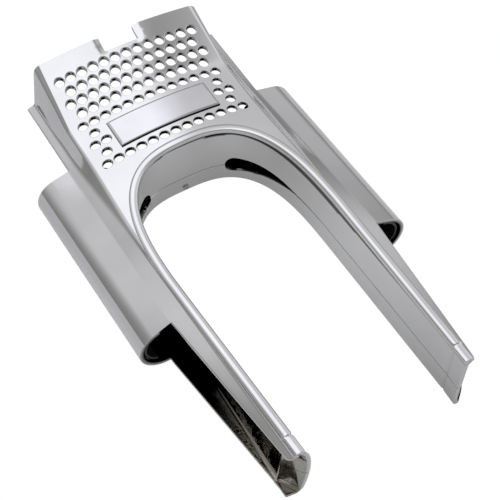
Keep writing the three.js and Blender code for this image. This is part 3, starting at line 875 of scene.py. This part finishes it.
BADGE = {"half_width": 31.8, "low": 73.1, "high": 93.8, "rise": 1.5, "bevel": 1.2, "bed": 0.02,
         "shade_below": 0.8}
BADGE_EDGE = ((0.25, 0.95), (0.0, 0.7), (0.0, 0.05))  # inset and rise of each ring down its side


def badge_level(inset, rise):
    """A grid of points at a height over the face, inset from the badge's outline."""
    xs, ys = np.meshgrid(np.linspace(-1, 1, 61), np.linspace(-1, 1, 21))
    middle = (BADGE["low"] + BADGE["high"]) / 2
    half_height = (BADGE["high"] - BADGE["low"]) / 2
    x = xs * (BADGE["half_width"] - inset)
    y = middle + ys * (half_height - inset)
    return np.stack([x, y, crown_z(x, y) + rise], axis=-1)


def badge_part():
    """A crowned panel with bevelled edges, over the face by its rise."""
    front = badge_level(BADGE["bevel"], BADGE["rise"])
    rows, columns = front.shape[:2]
    points = [front.reshape(-1, 3)]
    faces = grid_faces(rows, columns)
    rim = [(0, j) for j in range(columns - 1)] + [(i, columns - 1) for i in range(rows - 1)]
    rim += [(rows - 1, j) for j in range(columns - 1, 0, -1)] + [(i, 0) for i in range(rows - 1, 0, -1)]
    index = [i * columns + j for i, j in rim]
    start = rows * columns
    for inset, rise in BADGE_EDGE:
        level = badge_level(inset, rise)
        points.append(np.array([level[i, j] for i, j in rim]))
        new = list(range(start, start + len(rim)))
        for k in range(len(rim)):
            m = (k + 1) % len(rim)
            faces.append((index[k], new[k], new[m], index[m]))
        index, start = new, start + len(rim)
    front = np.concatenate(points)
    back = front.copy()
    back[:, 2] = crown_z(front[:, 0], front[:, 1]) + BADGE["bed"]
    panel = shell(front, back, faces)
    # Painted shade: the panel's side up to this height over the face is marked inner, so it takes the dark
    # inside colour as the shadow gap round the panel.
    above = panel.points[:, 2] - crown_z(panel.points[:, 0], panel.points[:, 1])
    panel.inner = (above < BADGE["shade_below"]).astype(float)
    return panel


# ---- Materials -------------------------------------------------------------------------------------
class Graph:
    """A node tree, with short ways to add nodes and to use their outputs."""

    def __init__(self, tree):
        self.nodes = tree.nodes
        self.links = tree.links

    def feed(self, node, inputs):
        """Gives each of a node's inputs its value, or links another node's output to it."""
        for key, value in inputs.items():
            socket = node.inputs[key]
            if isinstance(value, bpy.types.NodeSocket):
                self.links.new(value, socket)
            elif socket.type == "RGBA":
                socket.default_value = (*value, 1)
            else:
                socket.default_value = value

    def add(self, kind, inputs, **settings):
        """The outputs of a new node with these inputs and settings."""
        node = self.nodes.new("ShaderNode" + kind)
        for name, value in settings.items():
            setattr(node, name, value)
        self.feed(node, inputs)
        return node.outputs

    def place(self, coordinate="Object"):
        return self.add("TexCoord", {})[coordinate]

    def noise(self, scale, detail, stretch=(1, 1, 1)):
        place = self.add("Mapping", {"Vector": self.place(), "Scale": stretch})["Vector"]
        return self.add("TexNoise", {"Vector": place, "Scale": scale, "Detail": detail})["Fac"]

    def ranged(self, value, low, high, start=0.3, end=0.7, **settings):
        """From low to high as the value goes from start to end, which suit a noise."""
        inputs = {"Value": value, "From Min": start, "From Max": end, "To Min": low, "To Max": high}
        return self.add("MapRange", inputs, **settings)["Result"]

    def faded(self, value, start, end):
        """0 below start, 1 above end and a smooth rise between them; it falls if start is above end."""
        levels = (0.0, 1.0) if start < end else (1.0, 0.0)
        return self.ranged(value, *levels, *sorted((start, end)), interpolation_type="SMOOTHSTEP")

    def combined(self, operation, a, b, c=0.0):
        return self.add("Math", {0: a, 1: b, 2: c}, operation=operation)["Value"]

    def mixed(self, factor, low, high):
        """A colour between two others. A mix node's seventh and eighth inputs are its colours."""
        return self.add("Mix", {0: factor, 6: low, 7: high}, data_type="RGBA")[2]

    def tinted(self, noise, dark, light):
        return self.mixed(self.ranged(noise, 0.0, 1.0), dark, light)

    def bumped(self, height, strength, distance):
        return self.add("Bump", {"Height": height, "Strength": strength, "Distance": distance})["Normal"]


def new_material(name):
    made = bpy.data.materials.new(name)
    made.use_nodes = True
    return made, Graph(made.node_tree), made.node_tree.nodes["Principled BSDF"]


# The mouldings' insides and other points marked inner: a near black that is partly bare dark plastic and
# partly painted shade, turning lighter from one y to the other towards the legs' tips, partly thin plating
# and partly painted light.
BARE_PLASTIC_AND_SHADE = (0.012, 0.012, 0.012)
THIN_PLATING_AND_LIGHT = (0.5, 0.48, 0.45)
PLATING_AND_LIGHT_FROM = -50.0
PLATING_AND_LIGHT_TO = -115.0
WAVE_HEIGHT = 0.6


def chrome(name, dark, light, rough_low, rough_high, waviness):
    """Plated plastic: a mirror with slow waves, faint cloudiness and a little variation in tone."""
    made, graph, shader = new_material(name)
    plating = graph.tinted(graph.noise(28, 4), dark, light)
    # Painted shade: points marked inner take this dark inside colour in place of the mirror's, with painted
    # light lifting it towards the legs' tips.
    y = graph.add("SeparateXYZ", {"Vector": graph.place()})["Y"]
    plating_and_light = graph.faded(y, PLATING_AND_LIGHT_FROM * MM, PLATING_AND_LIGHT_TO * MM)
    inside_colour_and_shade = graph.mixed(plating_and_light, BARE_PLASTIC_AND_SHADE, THIN_PLATING_AND_LIGHT)
    inner = graph.add("Attribute", {}, attribute_name="inner")["Fac"]
    graph.feed(shader, {
        "Metallic": 1.0,
        "Base Color": graph.mixed(inner, plating, inside_colour_and_shade),
        "Roughness": graph.ranged(graph.noise(90, 5), rough_low, rough_high),
        "Normal": graph.bumped(graph.noise(45, 1), waviness, WAVE_HEIGHT * MM),
    })
    return made


def moulded_plastic(name, dark, light):
    """Plastic with the fine grain of its mould."""
    made, graph, shader = new_material(name)
    grain = graph.noise(900, 4)
    graph.feed(shader, {
        "Base Color": graph.tinted(graph.noise(60, 4), dark, light),
        "Roughness": graph.ranged(grain, 0.4, 0.6),
        "Normal": graph.bumped(grain, 0.2, 0.1 * MM),
    })
    return made


def zinc_steel(name):
    """Zinc-plated steel with fine streaks along Z."""
    made, graph, shader = new_material(name)
    brushed = graph.noise(1500, 2, (1, 1, 0.1))
    graph.feed(shader, {
        "Metallic": 1.0,
        "Base Color": graph.tinted(graph.noise(300, 4), (0.32, 0.32, 0.33), (0.5, 0.5, 0.52)),
        "Roughness": graph.ranged(brushed, 0.25, 0.45),
        "Normal": graph.bumped(brushed, 0.15, 0.05 * MM),
    })
    return made


# ---- Stage -----------------------------------------------------------------------------------------
TABLE_SIZE = 20.0
TABLE_WHITE = (0.95, 0.95, 0.95)
TABLE_SEEN = 1.02  # the table's brightness to the camera
TABLE_GLOW = {"strength": 0.2, "full": 0.04, "none": 0.18}  # and its own light, by distance in metres
SKY = {"horizon": (0.29, 0.29, 0.275), "left": (0.42, 0.42, 0.41), "middle": (0.84, 0.84, 0.85),
       "right": (1.05, 1.05, 1.09), "box": (1.40, 1.41, 1.47)}
# Where each of these starts and is complete, as components of the direction looked in. The middle's
# edge is slanted: it goes by x + SLANT * y.
SLANT = 2.0
MIDDLE_FADE = (0.35, 0.9)
RIGHT_FADE = (0.45, 0.75)
HIGH_FADE = (-0.1, 0.8)
BOX_FADES = (("X", -0.24, -0.12), ("X", 0.38, 0.18), ("Y", -0.3, -0.15), ("Z", 0.5, 0.62))
# Millimetres, and degrees about X, Y and Z.
CAMERA = {"place": (-157.0, -332.6, 473.7), "turned": (38.419, 2.74, -29.8), "lens": 75.398}


def floor():
    """A pale table, wide enough to end far outside the view. It glows a little under the object and
    looks plain white to the camera."""
    mesh = bpy.data.meshes.new("table_top")
    size = TABLE_SIZE
    corners = [(-size, -size, 0), (size, -size, 0), (size, size, 0), (-size, size, 0)]
    mesh.from_pydata(corners, [], [(0, 1, 2, 3)])
    made, graph, shader = new_material("table_white")
    distance = graph.add("VectorMath", {0: graph.place()}, operation="LENGTH")["Value"]
    near = graph.faded(distance, TABLE_GLOW["none"], TABLE_GLOW["full"])
    graph.feed(shader, {
        "Base Color": TABLE_WHITE,
        "Roughness": 0.9,
        "Specular IOR Level": 0.0,
        "Emission Color": (1, 1, 1),
        "Emission Strength": graph.ranged(near, 0.0, TABLE_GLOW["strength"], 0.0, 1.0),
    })
    seen = graph.add("LightPath", {})["Is Camera Ray"]
    white = graph.add("Emission", {"Strength": TABLE_SEEN})["Emission"]
    surface = graph.add("MixShader", {0: seen, 1: shader.outputs["BSDF"], 2: white})["Shader"]
    graph.feed(made.node_tree.nodes["Material Output"], {"Surface": surface})
    mesh.materials.append(made)
    table = bpy.data.objects.new("table_top", mesh)
    bpy.context.collection.objects.link(table)


def studio():
    """A grey room, brighter beyond the grille end and on the right, with a softbox overhead that
    reaches towards the grille end."""
    world = bpy.data.worlds.new("studio")
    bpy.context.scene.world = world
    world.use_nodes = True
    graph = Graph(world.node_tree)
    axes = graph.add("SeparateXYZ", {"Vector": graph.place("Generated")})
    x, y, z = (axes[axis] for axis in "XYZ")
    middle = graph.faded(graph.combined("MULTIPLY_ADD", y, SLANT, x), *MIDDLE_FADE)
    ceiling = graph.mixed(middle, SKY["left"], SKY["middle"])
    ceiling = graph.mixed(graph.faded(x, *RIGHT_FADE), ceiling, SKY["right"])
    room = graph.mixed(graph.faded(z, *HIGH_FADE), SKY["horizon"], ceiling)
    box, *fades = [graph.faded(axes[axis], *ends) for axis, *ends in BOX_FADES]
    for fade in fades:
        box = graph.combined("MULTIPLY", box, fade)
    graph.feed(world.node_tree.nodes["Background"], {"Color": graph.mixed(box, room, SKY["box"])})


def camera():
    """Looks down at the cover from beyond its left leg."""
    data = bpy.data.cameras.new("camera")
    data.sensor_width = 36.0
    data.lens = CAMERA["lens"]
    data.clip_start = 0.01
    made = bpy.data.objects.new("camera", data)
    turned = Euler([math.radians(angle) for angle in CAMERA["turned"]])
    made.matrix_world = Matrix.LocRotScale(Vector(CAMERA["place"]) * MM, turned, None)
    bpy.context.collection.objects.link(made)
    bpy.context.scene.camera = made


# ---- Assembly --------------------------------------------------------------------------------------
body_chrome = chrome("plated_body", (0.60, 0.60, 0.61), (0.66, 0.66, 0.67), 0.05, 0.11, 0.05)
badge_chrome = chrome("plated_badge", (0.58, 0.58, 0.60), (0.66, 0.66, 0.68), 0.05, 0.14, 0.25)
black_plastic = moulded_plastic("moulded_black", (0.03, 0.03, 0.03), (0.05, 0.05, 0.05))
zinc = zinc_steel("zinc_plate")

piece("front_moulding", [face_part(), front_strip(), front_cover(1), front_cover(-1)] + bosses(),
      body_chrome, ["front_shell"])
piece("rear_moulding", [rear_strip(), floor_part(), rear_cover(1), rear_cover(-1)] + towers(),
      body_chrome, ["rear_shell"])
piece("badge_panel", [badge_part()], badge_chrome, ["badge_plate"])
for word, sign in (("left", -1), ("right", 1)):
    piece(f"liner_{word}", liner(sign), black_plastic, [f"tube_liner_{word}"])
for name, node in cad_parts.items():
    if "screw" in name or "nut" in name:
        node.data.materials.clear()
        node.data.materials.append(zinc)

floor()
studio()
camera()
bpy.context.scene.view_settings.view_transform = "Standard"
